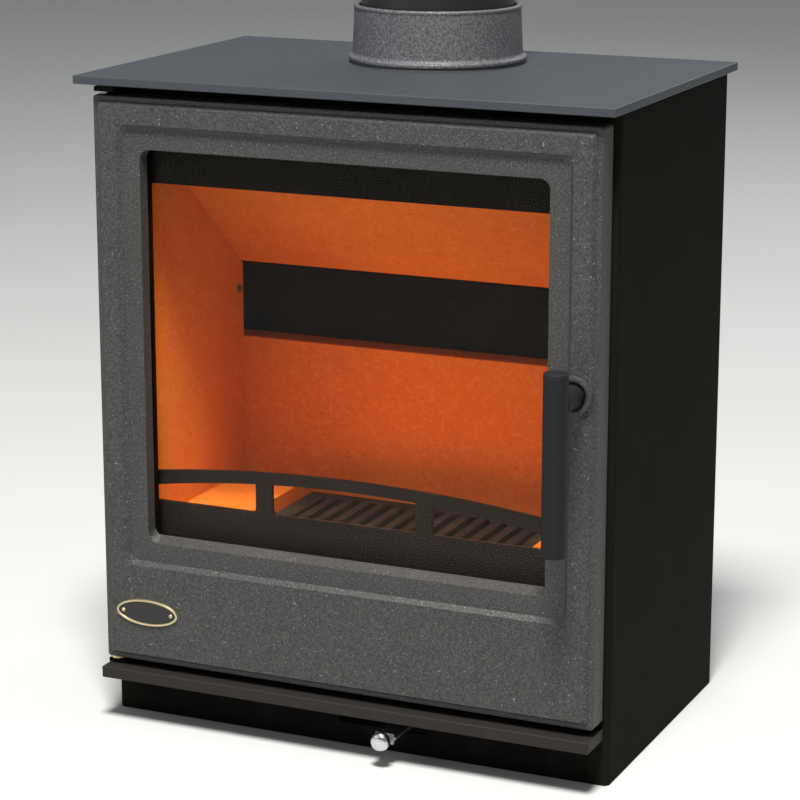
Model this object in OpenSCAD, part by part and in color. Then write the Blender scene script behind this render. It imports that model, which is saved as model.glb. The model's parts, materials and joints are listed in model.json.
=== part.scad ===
// Steel wood burning stove with a cast door, drawn closed. X runs to the right, Y to the back, Z up.
// The floor is z = 0. Inside the modules y = 0 is the door's face, and in_frame() centres the depth.

/* [Top plate] */
// Width of the top plate
top_w = 462; // [456:1:500]
// Depth of the top plate
top_d = 301; // [300:1:330]
// Thickness of the top plate
top_t = 7; // [7:0.5:10]
// How far the top plate stands forward of the door's face
top_lead = 6; // [0:1:12]
// Gap between the door and the top plate
top_gap = 9; // [8:0.5:14]

/* [Body] */
// Width over the side panels
body_w = 446; // [442:1:454]
// Depth of the side panels
body_d = 263; // [262:1:272]
// Thickness of the body's steel
sheet_t = 4; // [3:0.5:4]
// Outer radius of the side panels' front folds
fold_r = 5; // [4.5:0.5:6]
// Distance from the door's face to the body's front
body_y = 29; // [29:0.5:30]

/* [Plinth and ledge] */
// Height of the plinth under the ledge
plinth_h = 39; // [36:1:60]
// Thickness of the ledge
ledge_t = 10; // [8:1:12]
// How far the ledge stands forward of the door's face
ledge_lead = 7; // [4:1:20]
// Gap between the ledge and the door
door_gap = 6; // [5.5:0.5:10]

/* [Door] */
// Width of the door
door_w = 437; // [436:0.5:438]
// Height of the door
door_h = 477; // [474:1:482]
// Width of the rim around the raised face
rim = 4.5; // [3:0.5:6]
// How far the face stands in front of the rim and the field
face_rise = 4; // [3:0.5:4]
// Chamfer around the raised face
face_chamfer = 2.5; // [1:0.5:3]
// Plain border beside and above the recessed field
border = 17.3; // [16:0.1:18]
// Height of the plain panel under the recessed field
lower_panel = 80.5; // [76:0.5:84]
// Width of the sloped step down to the field
step_w = 3.7; // [2:0.1:4]
// Width of the field around the glass opening
field_w = 16.4; // [15:0.1:17]
// Corner radius of the glass opening
open_r = 7; // [4:1:10]
// Depth of the door's outer walls behind its face
door_d = 26; // [25:0.5:26]
// Diameter of the rope seal
rope_d = 6; // [5:0.5:6]

/* [Handle] */
// Distance from the stove's middle to the spindle
spindle_x = 199.3; // [199:0.1:200]
// Height of the spindle over the floor
spindle_z = 326; // [300:1:350]
// Diameter of the handle bar
bar_d = 19.4; // [16:0.2:20]
// Length of the handle bar
bar_len = 144; // [120:1:170]
// How far the bar reaches above the spindle
bar_over = 26; // [20:1:40]
// Distance from the door's face to the bar's axis
bar_reach = 38; // [34:1:44]

/* [Flue] */
// Outer diameter of the flue pipe
pipe_d = 127; // [126:0.5:128]
// Wall of the flue pipe
pipe_wall = 2; // [1:0.5:3]
// Length of pipe standing out of the collar
pipe_stub = 70; // [40:1:200]
// Distance from the door's face to the flue's axis
flue_y = 198.6; // [196:0.1:200]
// Height of the collar over the top plate
collar_h = 48.2; // [44:0.1:56]

/* [Firebox] */
// Thickness of the bricks
brick_t = 25; // [22:0.5:25]
// Width of the log guard
guard_w = 360; // [350:1:364]
// How far the log guard sits to the left of the middle
guard_shift = 12; // [0:0.5:12]
// Rise of the log guard's arch
guard_rise = 12; // [8:1:18]

/* [Air control] */
// Diameter of the air knob
knob_d = 16; // [12:1:20]
// Place of the air knob at rest, right of the middle
knob_x = 41.6; // [30:0.1:50]
// Travel of the slider to the left of rest
slide_left = 45; // [20:1:60]
// Travel of the slider to the right of rest
slide_right = 15; // [5:1:30]

/* [Hidden] */
$fn = 96;

// heights over the floor
ledge_top = plinth_h + ledge_t;
door_z0 = ledge_top + door_gap;
door_z1 = door_z0 + door_h;
body_h = door_z1 + top_gap;
stove_h = body_h + top_t;
base_z = 78;                          // top of the base plate, on which the ash pan slides
hearth_z = 150;                       // top of the hearth plate, on which the bricks stand

// the body's shell, seen from above
body_x = body_w / 2;
wall_x = body_x - sheet_t;            // inner face of a side panel
back_y = body_y + body_d;
frame_x = 205;                        // where the front frame meets the side panels' returns
inner_y = body_y + 5;                 // back of the front frame
rear_y = 274;                         // front of the rear wall
clear = 0.2;                          // gap between parts that are set in place

// door sizes, all measured from the middle or the floor
door_x = door_w / 2;
face_x = door_x - rim;
face_z = [door_z0 + rim, door_z1 - rim];
step_x = face_x - border;
step_z = [face_z[0] + lower_panel, face_z[1] - border];
open_x = step_x - step_w - field_w;
open_z = [step_z[0] + step_w + field_w, step_z[1] - step_w - field_w];
skin_y = face_rise + 5;               // back of the door's front skin
glass_y = [16, 20];
glass_x = 181.5;
glass_z = [155, 495];
rope_x = 186.1;                       // rope's centre line
rope_z = [70, 508];
rope_y = 25.4;
wall_t = 4;                           // door's outer walls
hinge_x = -212.5;
hinge_y = 14;
pin_r = 4;
run = 0.05;                           // radial clearance of a running fit
spindle_r = 5;

// firebox
brick_x = wall_x - brick_t - 1;       // inner face of a side brick
brick_y = [46.5, 213.8];
frame_open_x = 182;
frame_open_z = [base_z, 459];
duct_z = 459.5;                       // underside of the airwash duct, just over the opening
baffle_low = [212, 360];              // lower rear edge of the baffle, as [y, z]
baffle_angle = 40.2;
baffle_len = 157;
baffle_t = 22;
screw_at = [203, 337];                // screw that holds a side brick, as [y, z]
guard_y = [inner_y + 1, inner_y + 5];
grate_x = 112;
grate_y = [62, 198];

// air slider
slider_z = [22.1, 24.9];
slider_y = [55.2, 144.8];
port_xs = [-75, -25, 25, 75];
tongue_w = 18;
tongue_way = [knob_x - slide_left - tongue_w / 2 - 2, knob_x + slide_right + tongue_w / 2 + 2];

mid_y = (top_d - top_lead - bar_reach - bar_d / 2) / 2;

black = [0.13, 0.13, 0.13];
charcoal = [0.29, 0.29, 0.30];
satin_steel = [0.22, 0.22, 0.20];
plate_grey = [0.36, 0.38, 0.40];
brick_tan = [0.80, 0.58, 0.36];
bright_steel = [0.72, 0.72, 0.72];
bare_steel = [0.45, 0.45, 0.46];
rope_grey = [0.35, 0.34, 0.33];
ceramic_glass = [0.55, 0.45, 0.32, 0.4];
brass = [0.78, 0.70, 0.48];

// ---- shapes that repeat ----

module in_frame() { translate([0, -mid_y, 0]) children(); }

module both_sides() {
    children();
    mirror([1, 0, 0]) children();
}

// box between two corners, given as ranges
module slab(x, y, z)
    translate([x[0], y[0], z[0]]) cube([x[1] - x[0], y[1] - y[0], z[1] - z[0]]);

// box as wide to the left as to the right
module wide(x, y, z) { slab([-x, x], y, z); }

// outline in X and Z, made solid from y[0] to y[1]
module facing(y) {
    translate([0, y[1], 0]) rotate([90, 0, 0]) linear_extrude(y[1] - y[0]) children();
}

// outline in Y and Z, made solid from x[0] to x[1]
module across(x) {
    translate([x[0], 0, 0]) rotate([90, 0, 90]) linear_extrude(x[1] - x[0]) children();
}

// rod along Y or X from one value to the other
module rod_y(r, x, y, z) { translate([x, y[0], z]) rotate([-90, 0, 0]) cylinder(r = r, h = y[1] - y[0]); }
module rod_x(r, x, y, z) { translate([x[0], y, z]) rotate([0, 90, 0]) cylinder(r = r, h = x[1] - x[0]); }
module rod_z(r, x, y, z) { translate([x, y, z[0]]) cylinder(r = r, h = z[1] - z[0]); }

// rectangle of half width x between two heights, with round corners
module round_rect(x, z, r) {
    translate([-x + r, z[0]]) square([2 * (x - r), z[1] - z[0]]);
    translate([-x, z[0] + r]) square([2 * x, z[1] - z[0] - 2 * r]);
    for (cx = [-x + r, x - r], cz = [z[0] + r, z[1] - r])
        translate([cx, cz]) circle(r);
}

module round_ring(x, z, r, w) {
    difference() {
        round_rect(x, z, r);
        round_rect(x - w, [z[0] + w, z[1] - w], r - w);
    }
}

// block whose front edges at y[0] have a chamfer c
module chamfered(x, y, z, c) {
    intersection() {
        translate([0, 0, z[0]]) linear_extrude(z[1] - z[0]) polygon([
            [-x + c, y[0]], [x - c, y[0]], [x, y[0] + c], [x, y[1]], [-x, y[1]], [-x, y[0] + c]]);
        across([-x, x]) polygon([
            [y[0], z[0] + c], [y[0], z[1] - c], [y[0] + c, z[1]], [y[1], z[1]], [y[1], z[0]],
            [y[0] + c, z[0]]]);
    }
}

// recess with sloped walls, wider at y[0] than at y[1] by w on each side
module sloped_recess(x, y, z, w) {
    intersection() {
        translate([0, 0, z[0]]) linear_extrude(z[1] - z[0])
            polygon([[-x, y[0]], [x, y[0]], [x - w, y[1]], [-x + w, y[1]]]);
        across([-x, x])
            polygon([[y[0], z[0]], [y[0], z[1]], [y[1], z[1] - w], [y[1], z[0] + w]]);
    }
}

module hex_head(r, h) { cylinder(r = r, h = h, $fn = 6); }

module at_lugs() {
    for (a = [30, 150, 270])
        translate([0, flue_y, 0]) rotate(a) children();
}

// ---- body ----

module side_panel() {
    linear_extrude(body_h) {
        translate([wall_x, body_y + fold_r]) square([sheet_t, body_d - fold_r]);
        translate([frame_x, body_y]) square([body_x - fold_r - frame_x, sheet_t]);
        intersection() {
            translate([body_x - fold_r, body_y + fold_r]) difference() {
                circle(fold_r);
                circle(fold_r - sheet_t);
            }
            translate([body_x - fold_r, body_y]) square(fold_r);
        }
    }
}

module right_side_panel() { color(satin_steel) in_frame() side_panel(); }
module left_side_panel() { color(satin_steel) in_frame() mirror([1, 0, 0]) side_panel(); }

module front_frame() {
    color(black) in_frame() facing([body_y, inner_y]) difference() {
        translate([-frame_x, plinth_h]) square([2 * frame_x, body_h - plinth_h]);
        round_rect(frame_open_x, frame_open_z, 3);
    }
}

module base_plate() {
    color(black) in_frame() difference() {
        wide(wall_x, [inner_y, rear_y], [base_z - sheet_t, base_z]);
        for (x = port_xs) slab([x - 15, x + 15], [75, 125], [base_z - 9, base_z + 5]);
        wide(100, [250, 266], [base_z - 9, base_z + 5]);
    }
}

module hearth_plate() {
    color(black) in_frame() difference() {
        union() {
            wide(wall_x, [inner_y, rear_y], [hearth_z - 4, hearth_z]);
            wide(178, [body_y - 5, inner_y], [hearth_z - 4, hearth_z]);
        }
        wide(grate_x, grate_y, [hearth_z - 9, hearth_z + 5]);
        wide(100, [250, 266], [hearth_z - 9, hearth_z + 5]);
        both_sides() slab([brick_x - 1, wall_x + 1], [inner_y - 1, brick_y[0]], [hearth_z - 9, hearth_z + 5]);
    }
}

module firebox_top() {
    color(black) in_frame() difference() {
        wide(wall_x, [inner_y, rear_y], [body_h - 4, body_h]);
        rod_z(66, 0, flue_y, [body_h - 9, body_h + 5]);
        at_top_bolts() cylinder(r = 3.2, h = 20, center = true);
    }
}

module rear_wall() {
    color(black) in_frame() difference() {
        wide(wall_x, [rear_y, rear_y + 4], [0, body_h]);
        rod_y(62, 0, [rear_y - 5, rear_y + 9], rear_outlet_z);
        wide(60, [rear_y - 5, rear_y + 9], [10, 34]);
        at_blanking_bolts() rotate([90, 0, 0]) cylinder(r = 3.2, h = 30, center = true);
        at_shield_screws() rotate([90, 0, 0]) cylinder(r = 2.6, h = 30, center = true);
    }
}

rear_outlet_z = 452;

module at_blanking_bolts() {
    for (a = [90, 210, 330])
        translate([66 * cos(a), rear_y + 4, rear_outlet_z + 66 * sin(a)]) children();
}

module at_shield_screws() {
    for (x = [-200, 200], z = [70, 500])
        translate([x, rear_y + 4, z]) children();
}

module blanking_plate() {
    color(black) in_frame() difference() {
        rod_y(72, 0, [rear_y + 4, rear_y + 8], rear_outlet_z);
        at_blanking_bolts() rotate([90, 0, 0]) cylinder(r = 3.2, h = 30, center = true);
    }
}

module blanking_bolts() {
    color(bare_steel) in_frame() at_blanking_bolts() rotate([-90, 0, 0]) {
        translate([0, 0, 4]) hex_head(5.5, 3.6);
        translate([0, 0, -8]) cylinder(r = 3, h = 12);
    }
}

// sheet spaced off the rear wall by its own folded edges, with rows of vents
module rear_shield() {
    vent_zs = [for (row = [0:3]) 110 + row * 22];
    color(satin_steel) in_frame() difference() {
        union() {
            wide(218, [rear_y + 12, rear_y + 14], [16, 535]);
            both_sides() slab([216, 218], [rear_y + 4, rear_y + 12], [16, 535]);
        }
        rod_y(78, 0, [rear_y, rear_y + 20], rear_outlet_z);
        for (z = vent_zs, x = [-120, 0, 120])
            slab([x - 40, x + 40], [rear_y + 5, rear_y + 20], [z, z + 6]);
        at_shield_screws() rotate([90, 0, 0]) cylinder(r = 2.6, h = 30, center = true);
    }
}

module shield_screws() {
    color(bare_steel) in_frame() at_shield_screws() rotate([-90, 0, 0]) {
        translate([0, 0, 10]) cylinder(r1 = 5, r2 = 4, h = 2.6);
        translate([0, 0, -6]) cylinder(r = 2.5, h = 16);
    }
}

module at_top_bolts() {
    for (x = [-200, 200], y = [80, 255])
        translate([x, y, body_h]) children();
}

module top_plate() {
    color(plate_grey) in_frame() difference() {
        wide(top_w / 2, [-top_lead, top_d - top_lead], [body_h, stove_h]);
        rod_z(66, 0, flue_y, [body_h - 5, stove_h + 5]);
        at_top_bolts() cylinder(r = 3.1, h = 10, center = true);
    }
}

module top_plate_bolts() {
    color(bare_steel) in_frame() at_top_bolts() {
        translate([0, 0, -8]) hex_head(5.5, 4);
        translate([0, 0, -4]) cylinder(r = 3, h = 8.6);
    }
}

// ---- flue ----

gasket_t = 2.5;
lug_top = stove_h + 8.5;
spigot_r = pipe_d / 2 - 0.7;

module flue_collar() {
    color(charcoal) in_frame() difference() {
        union() {
            translate([0, flue_y, stove_h]) rotate_extrude() polygon([
                [62, gasket_t], [74.3, gasket_t], [74.3, 5], [73.6, 5.9], [71.6, 7.2], [71, 9],
                [69.4, collar_h - 3.6], [70, collar_h - 2.2], [70, collar_h - 0.8],
                [69.2, collar_h], [66.4, collar_h], [65.5, collar_h - 1.2], [65.5, 14], [62, 14]]);
            at_lugs() translate([50, -7, stove_h + gasket_t]) cube([13, 14, lug_top - stove_h - gasket_t]);
        }
        at_lugs() translate([55, 0, stove_h - 5]) cylinder(r = 3.2, h = 30);
    }
}

module collar_gasket() {
    color(rope_grey) in_frame() difference() {
        rod_z(73, 0, flue_y, [stove_h, stove_h + gasket_t]);
        rod_z(66, 0, flue_y, [stove_h - 1, stove_h + gasket_t + 1]);
    }
}

module collar_clamps() {
    color(bare_steel) in_frame() at_lugs() difference() {
        translate([48, -7, body_h - 8]) cube([32, 14, 4]);
        translate([55, 0, body_h - 9]) cylinder(r = 3.2, h = 6);
    }
}

module collar_bolts() {
    color(bare_steel) in_frame() at_lugs() translate([55, 0, 0]) {
        translate([0, 0, lug_top]) hex_head(5.2, 3.4);
        translate([0, 0, body_h - 15]) cylinder(r = 3, h = lug_top - body_h + 15);
        translate([0, 0, body_h - 13]) hex_head(5.2, 5);
    }
}

// the end inside the collar is drawn in slightly, as a pipe's spigot is
module flue_pipe() {
    color(black) in_frame() difference() {
        union() {
            rod_z(pipe_d / 2, 0, flue_y, [stove_h + collar_h, stove_h + collar_h + pipe_stub]);
            rod_z(spigot_r, 0, flue_y, [stove_h + 14 + clear, stove_h + collar_h]);
        }
        rod_z(pipe_d / 2 - pipe_wall, 0, flue_y, [stove_h, stove_h + collar_h + pipe_stub + 1]);
    }
}

module pipe_rope() {
    color(rope_grey) in_frame() difference() {
        rod_z(65.4, 0, flue_y, [stove_h + 26, stove_h + 42]);
        rod_z(spigot_r + 0.1, 0, flue_y, [stove_h + 20, stove_h + 46]);
    }
}

// ---- ledge, plinth and air control ----

module ash_lip() {
    color(charcoal) in_frame()
        chamfered(door_x, [-ledge_lead, body_y], [plinth_h, ledge_top], 1);
}

module plinth_front() {
    color(black) in_frame() difference() {
        wide(frame_x, [body_y, body_y + 3], [0, plinth_h]);
        slab(tongue_way, [body_y - 5, body_y + 8], [slider_z[0] - 3, slider_z[1] + 3]);
    }
}

module air_box() {
    color(black) in_frame() difference() {
        wide(110, [50, 150], [slider_z[1] + 2.3, base_z - sheet_t]);
        wide(108.5, [51.5, 148.5], [slider_z[1], base_z]);
    }
}

module ports(z) {
    for (x = port_xs) slab([x - 8, x + 8], [66, 134], z);
}

module air_port_plate() {
    color(bare_steel) in_frame() difference() {
        wide(160, [46, 154], [slider_z[1] + 0.3, slider_z[1] + 2.3]);
        ports([slider_z[1] - 5, slider_z[1] + 8]);
    }
}

// L sections that carry the slider's two long edges, the front one cut away for the tongue
module slider_guides() {
    color(bare_steel) in_frame() difference() {
        translate([0, 100, 0]) for (turn = [0, 180]) rotate(turn) {
            slab([-160, 160], [45.1, 47.1], [slider_z[0] - 2.1, slider_z[1] + 0.3]);
            slab([-160, 160], [41, 45.1], [slider_z[0] - 2.1, slider_z[0] - 0.3]);
        }
        slab(tongue_way, [50, 56], [slider_z[0] - 0.3, slider_z[1] + 3]);
    }
}

module air_slider() {
    color(bare_steel) in_frame() {
        difference() {
            wide(105, slider_y, slider_z);
            ports([slider_z[0] - 5, slider_z[1] + 5]);
        }
        translate([knob_x, 0, 0]) {
            slab([-tongue_w / 2, tongue_w / 2], [0, slider_y[0]], slider_z);
            slab([-8, 8], [-2, 0], [19, 28]);
        }
    }
}

module air_knob() {
    knob_r = knob_d / 2;
    color(bright_steel) in_frame() translate([knob_x, -2, 23.5]) rotate([90, 0, 0])
        rotate_extrude() {
            square([4, 3.5]);
            translate([0, 3]) square([knob_r - 3, 10]);
            translate([0, 6]) square([knob_r, 4]);
            for (z = [6, 10]) translate([knob_r - 3, z]) circle(3);
        }
}

// ---- firebox ----

module air_riser() {
    difference() {
        slab([brick_x + 0.6, wall_x - 0.4], [inner_y + clear, brick_y[0] - 0.3], [base_z, body_h - 4]);
        slab([brick_x + 2.1, wall_x - 1.9], [inner_y + 1.7, brick_y[0] - 1.8], [base_z - 1, body_h]);
        slab([brick_x - 1, brick_x + 3], [inner_y + 2, brick_y[0] - 3], [462, 530]);
    }
}

module right_air_riser() { color(black) in_frame() air_riser(); }
module left_air_riser() { color(black) in_frame() mirror([1, 0, 0]) air_riser(); }

module airwash_duct() {
    color(black) in_frame() difference() {
        union() {
            wide(brick_x, [inner_y + clear, 60], [duct_z, duct_z + 1.5]);
            wide(brick_x, [58.5, 60], [duct_z + 1.5, body_h - 4]);
        }
        both_sides() slab([10, 175], [37, 44], [duct_z - 5, duct_z + 5]);
    }
}

// box behind the rear brick that heats the air for the row of jets above it,
// with a shelf in front that closes the gap under the baffle's rear edge
module air_chamber() {
    color(black) in_frame() difference() {
        union() {
            wide(wall_x - 0.2, [brick_y[1] + brick_t + 0.6, 241.4], [hearth_z, 372]);
            wide(wall_x - 0.2, [241.4, rear_y], [370, 372]);
            wide(wall_x - 0.2, [brick_y[1] + clear, 241], [356, 358]);
        }
        for (x = [-160:40:160]) rod_y(3, x, [230, 250], 338);
    }
}

// the side bricks' upper edges are cut to the slope on which the baffle lies
module side_brick() {
    difference() {
        slab([brick_x, wall_x - 0.4], brick_y, [hearth_z, 462]);
        on_baffle() slab([brick_x - 1, wall_x], [-baffle_len - 30, 30], [-clear / 2, 80]);
        rod_x(2.7, [brick_x - 1, wall_x], screw_at[0], screw_at[1]);
    }
}

module right_brick() { color(brick_tan) in_frame() side_brick(); }
module left_brick() { color(brick_tan) in_frame() mirror([1, 0, 0]) side_brick(); }

module rear_brick() {
    color(brick_tan) in_frame()
        wide(wall_x - 0.4, [brick_y[1] + clear, brick_y[1] + clear + brick_t], [hearth_z, 292]);
}

module hearth_brick() { slab([128, brick_x - clear], [brick_y[0], brick_y[1]], [hearth_z, hearth_z + 18]); }
module right_hearth_brick() { color(brick_tan) in_frame() hearth_brick(); }
module left_hearth_brick() { color(brick_tan) in_frame() mirror([1, 0, 0]) hearth_brick(); }

// the baffle's own frame: origin at its lower rear edge, first axis up the slope to the front
module on_baffle() {
    translate([0, baffle_low[0], baffle_low[1]]) rotate([-baffle_angle, 0, 0]) children();
}

module baffle() {
    color(brick_tan) in_frame() on_baffle()
        slab([-wall_x + 1, wall_x - 1], [-baffle_len, 0], [0, baffle_t]);
}

module brick_screws() {
    color(bare_steel) in_frame() both_sides() {
        rod_x(3.2, [brick_x - 2, brick_x], screw_at[0], screw_at[1]);
        rod_x(2.5, [brick_x, wall_x - 0.5], screw_at[0], screw_at[1]);
    }
}

module grate() {
    color(black) in_frame() {
        difference() {
            wide(grate_x + 10, [grate_y[0] - 8, grate_y[1] + 8], [hearth_z, hearth_z + 8]);
            wide(grate_x - 6, [grate_y[0] + 6, grate_y[1] - 6], [hearth_z - 1, hearth_z + 9]);
        }
        for (x = [-96:16:96])
            slab([x - 4.5, x + 4.5], [grate_y[0] + 6, grate_y[1] - 6], [hearth_z - 8, hearth_z + 8]);
        wide(100.5, [126, 134], [hearth_z - 8, hearth_z]);
    }
}

module ash_pan() {
    color(black) in_frame() {
        difference() {
            wide(118, [42, 205], [base_z + clear, 136]);
            wide(116.5, [43.5, 203.5], [base_z + 1.7, 140]);
        }
        wide(40, [36, 42], [118, 121]);
        wide(40, [36, 37.5], [108, 118]);
    }
}

// lower plate, four posts and an arched top bar in one flat piece, loose behind the front frame
module log_guard() {
    half = guard_w / 2;
    crown = 225;
    bar = 9.5;
    lower = [188.3, crown + 10];
    inner_rise = guard_rise * 1.25;
    outer_r = (half * half + guard_rise * guard_rise) / (2 * guard_rise);
    inner_r = (half * half + inner_rise * inner_rise) / (2 * inner_rise);
    color(black) in_frame() translate([-guard_shift, 0, 0]) facing(guard_y) difference() {
        intersection() {
            translate([-half, hearth_z]) square([guard_w, 100]);
            translate([0, crown - outer_r]) circle(outer_r, $fn = 360);
        }
        intersection() {
            union() {
                round_rect(64.5, lower, 4);
                for (x = [-127.5, 127.5]) translate([x, 0]) round_rect(48, lower, 3);
            }
            translate([0, crown - bar - inner_r]) circle(inner_r, $fn = 360);
        }
    }
}

// ---- hinges and keeper, fixed to the body ----

module hinge_lug(z) {
    difference() {
        slab([hinge_x - 6, hinge_x + 12], [hinge_y - 8, body_y], z);
        rod_z(pin_r + run, hinge_x, hinge_y, [z[0] - 1, z[1] + 1]);
    }
}

module hinge_bracket_top() { color(black) in_frame() hinge_lug([door_z1 + 2.5, door_z1 + 6.5]); }
module hinge_bracket_bottom() { color(black) in_frame() hinge_lug([ledge_top, ledge_top + 3.5]); }

module hinge_pins() {
    color(bright_steel) in_frame() {
        rod_z(pin_r, hinge_x, hinge_y, [ledge_top, door_z0 + 25]);
        rod_z(pin_r, hinge_x, hinge_y, [door_z1 - 26, door_z1 + 8]);
    }
}

module hinge_washer() {
    color(brass) in_frame() difference() {
        rod_z(8, hinge_x, hinge_y, [ledge_top + 3.5, door_z0 - 0.3]);
        rod_z(pin_r + 0.2, hinge_x, hinge_y, [ledge_top, door_z0 + 1]);
    }
}

module latch_keeper() {
    keeper_top = spindle_z - 15.6;
    color(bare_steel) in_frame() {
        slab([196, 207], [body_y - 2.5, body_y], [keeper_top - 40, keeper_top]);
        slab([207, 209.5], [15.5, body_y], [keeper_top - 28, keeper_top]);
        slab([196, 207], [15.5, 17.7], [keeper_top - 18, keeper_top]);
    }
}

// ---- door ----

boss_r = 15.5;
boss_bore = 11.5;

module door_frame() {
    color(charcoal) in_frame() difference() {
        union() {
            chamfered(face_x, [0, skin_y], face_z, face_chamfer);
            wide(door_x, [face_rise, skin_y], [door_z0, door_z1]);
            facing([skin_y, door_d]) difference() {
                translate([-door_x, door_z0]) square([door_w, door_h]);
                translate([-door_x + wall_t, door_z0 + wall_t])
                    square([door_w - 2 * wall_t, door_h - 2 * wall_t]);
            }
            // band that carries the rope
            facing([skin_y, rope_y - 0.9])
                round_ring(rope_x + 4.6, [rope_z[0] - 4.6, rope_z[1] + 4.6], 24.6, 9.4);
            // land that carries the glass
            facing([skin_y, glass_y[1] + clear]) difference() {
                translate([-184, 146]) square([368, 358]);
                round_rect(open_x, open_z, open_r);
            }
            // sloped sill under the glass
            across([-open_x, open_x])
                polygon([[5, open_z[0] - 2], [5, open_z[0] + 0.3], [15, open_z[0] + 3.5], [15, open_z[0] - 2]]);
            rod_y(boss_r, spindle_x, [-face_rise, skin_y], spindle_z);
            slab([190, door_x - wall_t], [skin_y, 18], [spindle_z - 14, spindle_z + 14]);
            for (z = [[door_z0, door_z0 + 31], [door_z1 - 31, door_z1]])
                slab([-door_x + 2, hinge_x + 9], [skin_y, hinge_y + 7.5], z);
        }
        sloped_recess(step_x, [-face_rise * 0.02, face_rise], step_z, step_w);
        facing([-8, 5]) round_rect(open_x, open_z, open_r);
        facing([4.9, 15]) intersection() {
            round_rect(open_x, open_z, open_r);
            translate([-200, open_z[0] + 3.5]) square([400, 400]);
        }
        facing([4.9, 15.01]) translate([-open_x + 3, open_z[0] + 3.5]) square([2 * open_x - 6, 50]);
        // pocket for the glass, and the rope's groove
        wide(glass_x + 0.3, [15, glass_y[1] + 1], [glass_z[0] - 0.7, glass_z[1] + 0.7]);
        facing([rope_y - 3.2, door_d])
            round_ring(rope_x + 3.1, [rope_z[0] - 3.1, rope_z[1] + 3.1], 23.1, 6.2);
        // spindle bore, and the groove around the hub
        rod_y(boss_bore, spindle_x, [-9, 0], spindle_z);
        rod_y(spindle_r + run, spindle_x, [-9, 30], spindle_z);
        rod_z(pin_r + run, hinge_x, hinge_y, [door_z0 - 1, door_z0 + 27]);
        rod_z(pin_r + run, hinge_x, hinge_y, [door_z1 - 28, door_z1 + 1]);
        at_retainer_screws() rotate([90, 0, 0]) cylinder(r = 1.7, h = 16, center = true);
        at_badge_pins() rotate([90, 0, 0]) cylinder(r = 1.3, h = 8, center = true);
    }
}

module door_glass() {
    color(ceramic_glass) in_frame() wide(glass_x, glass_y, glass_z);
}

module glass_gasket() {
    color(rope_grey) in_frame() difference() {
        wide(glass_x, [15.1, 15.9], glass_z);
        wide(177.4, [14, 17], [164.4, 489.8]);
    }
}

module at_retainer_screws() {
    for (x = [-150, -50, 50, 150], z = [150, 500])
        translate([x, 20, z]) children();
}

module glass_retainers() {
    color(bare_steel) in_frame() difference() {
        for (z = [[146.5, 161], [489, 503]])
            wide(170, [glass_y[1] + 0.3, glass_y[1] + 1.8], z);
        at_retainer_screws() rotate([90, 0, 0]) cylinder(r = 1.8, h = 16, center = true);
    }
}

module retainer_screws() {
    color(bright_steel) in_frame() at_retainer_screws() rotate([-90, 0, 0]) {
        translate([0, 0, 1.8]) cylinder(r1 = 3.2, r2 = 2.4, h = 1.8);
        translate([0, 0, -7]) cylinder(r = 1.6, h = 8.8);
    }
}

// closed loop of rope: four straight runs and four quarter turns
module door_rope() {
    r = rope_d / 2;
    bend = 20;
    side = rope_x - bend;
    color(rope_grey) in_frame() translate([0, rope_y, 0]) {
        for (x = [-rope_x, rope_x]) rod_z(r, x, 0, [rope_z[0] + bend, rope_z[1] - bend]);
        for (z = rope_z) rod_x(r, [-side, side], 0, z);
        for (c = [[side, rope_z[1] - bend, 0], [-side, rope_z[1] - bend, 90],
                  [-side, rope_z[0] + bend, 180], [side, rope_z[0] + bend, 270]])
            translate([c[0], 0, c[1]]) rotate([90, -c[2], 0])
                rotate_extrude(angle = 90) translate([bend, 0]) circle(r);
    }
}

badge_x = -176.8;
badge_z = 100;
badge_half = [28.7, 11.3];

module at_badge_pins() {
    for (x = [-22.4, 22.4]) translate([badge_x + x, 0, badge_z]) children();
}

module oval(inset) {
    polygon([for (a = [0:5:355])
        [(badge_half[0] - inset) * cos(a), (badge_half[1] - inset) * sin(a)]]);
}

module badge() {
    color(brass) in_frame() difference() {
        translate([badge_x, 0, badge_z]) {
            facing([-1, 0]) oval(0);
            facing([-1.8, -1]) difference() {
                oval(0);
                oval(2);
            }
        }
        at_badge_pins() rotate([90, 0, 0]) cylinder(r = 1.3, h = 8, center = true);
    }
}

module badge_pins() {
    color(brass) in_frame() at_badge_pins() rotate([-90, 0, 0]) {
        translate([0, 0, -2.1]) cylinder(r1 = 1.4, r2 = 2, h = 1.1);
        translate([0, 0, -1]) cylinder(r = 1.2, h = 4.5);
    }
}

// ---- handle ----

module door_handle() {
    color(charcoal) in_frame() difference() {
        rod_z(bar_d / 2, spindle_x, -bar_reach,
              [spindle_z + bar_over - bar_len, spindle_z + bar_over]);
        rod_y(spindle_r + run, spindle_x, [-bar_reach, 0], spindle_z);
    }
}

module handle_spindle() {
    color(charcoal) in_frame() {
        difference() {
            rod_y(9.5, spindle_x, [-bar_reach + 4, -0.5], spindle_z);
            rod_z(bar_d / 2 + 0.02, spindle_x, -bar_reach, [spindle_z - 15, spindle_z + 15]);
        }
        rod_y(spindle_r, spindle_x, [-bar_reach + 0.5, 19.3], spindle_z);
        rod_y(4, spindle_x, [19.3, 28.2], spindle_z);
    }
}

module latch_cam() {
    color(bare_steel) in_frame() translate([spindle_x, 0, spindle_z]) facing([19.4, 23.3])
        difference() {
            union() {
                circle(7.4);
                translate([-4, -12]) square([8, 12]);
                intersection() {
                    circle(14);
                    translate([-4, -14]) square([8, 4]);
                }
            }
            circle(4.05);
        }
}

module spindle_washer() {
    color(bright_steel) in_frame() difference() {
        rod_y(7.8, spindle_x, [18.3, 19.2], spindle_z);
        rod_y(spindle_r + 0.1, spindle_x, [17, 21], spindle_z);
    }
}

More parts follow.
